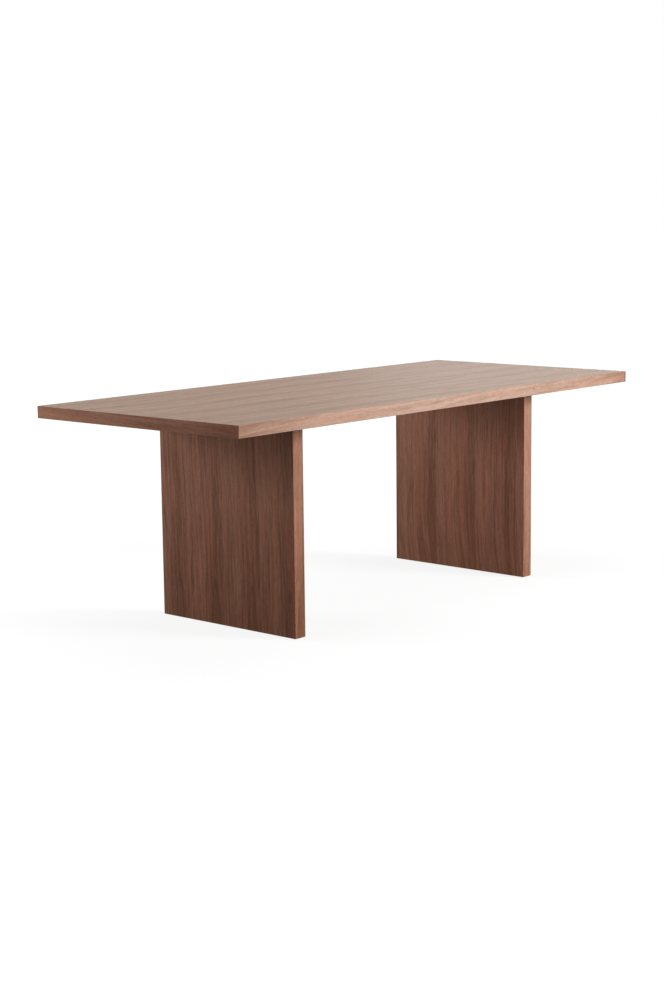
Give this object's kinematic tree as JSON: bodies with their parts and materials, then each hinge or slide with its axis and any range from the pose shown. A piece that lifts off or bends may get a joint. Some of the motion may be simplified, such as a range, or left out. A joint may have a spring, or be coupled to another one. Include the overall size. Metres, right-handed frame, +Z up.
{
  "type": "slab-leg dining table",
  "caption": "Rectangular walnut-veneered dining table: a thick flat top carried on upright slab legs set in from its ends, bolted on through steel plates and standing on levelling feet.",
  "frame": {"origin": "on the floor, under the middle of the top", "axes": "+Z up, X along the length of the top, the front long edge faces minus Y"},
  "size_m": [2.1, 0.9, 0.74],
  "materials": {
    "top_veneer": "satin lacquered walnut veneer",
    "leg_veneer": "satin lacquered walnut veneer",
    "balancing_veneer": "sealed walnut veneer",
    "top_lipping": "satin lacquered solid walnut",
    "leg_lipping": "satin lacquered solid walnut",
    "fibreboard": "raw fibreboard",
    "frame_softwood": "planed softwood",
    "black_steel": "black powder coat",
    "zinc_steel": "bright zinc plate",
    "nylon": "moulded nylon"
  },
  "bodies": {
    "table": {"bolt_washers": "zinc_steel", "foot_nuts": "zinc_steel", "left_leg_back_lipping": "leg_lipping", "left_leg_back_stile": "frame_softwood", "left_leg_bottom_lipping": "leg_lipping", "left_leg_bottom_rail": "frame_softwood", "left_leg_front_lipping": "leg_lipping", "left_leg_front_stile": "frame_softwood", "left_leg_inner_skin": "fibreboard", "left_leg_inner_veneer": "leg_veneer", "left_leg_middle_rails": "frame_softwood", "left_leg_outer_skin": "fibreboard", "left_leg_outer_veneer": "leg_veneer", "left_leg_plate": "black_steel", "left_leg_top_rail": "frame_softwood", "leg_inserts": "zinc_steel", "plate_bolts": "black_steel", "plate_screws": "zinc_steel", "right_leg_back_lipping": "leg_lipping", "right_leg_back_stile": "frame_softwood", "right_leg_bottom_lipping": "leg_lipping", "right_leg_bottom_rail": "frame_softwood", "right_leg_front_lipping": "leg_lipping", "right_leg_front_stile": "frame_softwood", "right_leg_inner_skin": "fibreboard", "right_leg_inner_veneer": "leg_veneer", "right_leg_middle_rails": "frame_softwood", "right_leg_outer_skin": "fibreboard", "right_leg_outer_veneer": "leg_veneer", "right_leg_plate": "black_steel", "right_leg_top_rail": "frame_softwood", "top_back_lipping": "top_lipping", "top_back_rail": "frame_softwood", "top_cross_ribs": "frame_softwood", "top_face_veneer": "top_veneer", "top_front_lipping": "top_lipping", "top_front_rail": "frame_softwood", "top_inserts": "zinc_steel", "top_left_end_rail": "frame_softwood", "top_left_lipping": "top_lipping", "top_left_mounting_block": "frame_softwood", "top_lower_skin": "fibreboard", "top_right_end_rail": "frame_softwood", "top_right_lipping": "top_lipping", "top_right_mounting_block": "frame_softwood", "top_underside_veneer": "balancing_veneer", "top_upper_skin": "fibreboard"},
    "left_front_foot": {"left_front_foot_pad": "nylon"},
    "left_front_screw": {"left_front_foot_screw": "zinc_steel"},
    "left_back_foot": {"left_back_foot_pad": "nylon"},
    "left_back_screw": {"left_back_foot_screw": "zinc_steel"},
    "right_front_foot": {"right_front_foot_pad": "nylon"},
    "right_front_screw": {"right_front_foot_screw": "zinc_steel"},
    "right_back_foot": {"right_back_foot_pad": "nylon"},
    "right_back_screw": {"right_back_foot_screw": "zinc_steel"}
  },
  "joints": [
    {"name": "left_front_foot_travel", "type": "slide", "parent": "table", "child": "left_front_foot", "axis": [0, 0, -1], "range_m": [0, 0.01]},
    {"name": "left_front_screw_turn", "type": "hinge", "parent": "left_front_foot", "child": "left_front_screw", "pos_m": [-0.626, -0.222, 0], "axis": [0, 0, -1], "range_deg": [0, 2880]},
    {"name": "left_back_foot_travel", "type": "slide", "parent": "table", "child": "left_back_foot", "axis": [0, 0, -1], "range_m": [0, 0.01]},
    {"name": "left_back_screw_turn", "type": "hinge", "parent": "left_back_foot", "child": "left_back_screw", "pos_m": [-0.626, 0.222, 0], "axis": [0, 0, -1], "range_deg": [0, 2880]},
    {"name": "right_front_foot_travel", "type": "slide", "parent": "table", "child": "right_front_foot", "axis": [0, 0, -1], "range_m": [0, 0.01]},
    {"name": "right_front_screw_turn", "type": "hinge", "parent": "right_front_foot", "child": "right_front_screw", "pos_m": [0.626, -0.222, 0], "axis": [0, 0, -1], "range_deg": [0, 2880]},
    {"name": "right_back_foot_travel", "type": "slide", "parent": "table", "child": "right_back_foot", "axis": [0, 0, -1], "range_m": [0, 0.01]},
    {"name": "right_back_screw_turn", "type": "hinge", "parent": "right_back_foot", "child": "right_back_screw", "pos_m": [0.626, 0.222, 0], "axis": [0, 0, -1], "range_deg": [0, 2880]}
  ],
  "couplings": [
    {"joint": "left_front_foot_travel", "follows": "left_front_screw_turn", "m_per_rad": 0.00019894},
    {"joint": "left_back_foot_travel", "follows": "left_back_screw_turn", "m_per_rad": 0.00019894},
    {"joint": "right_front_foot_travel", "follows": "right_front_screw_turn", "m_per_rad": 0.00019894},
    {"joint": "right_back_foot_travel", "follows": "right_back_screw_turn", "m_per_rad": 0.00019894}
  ]
}
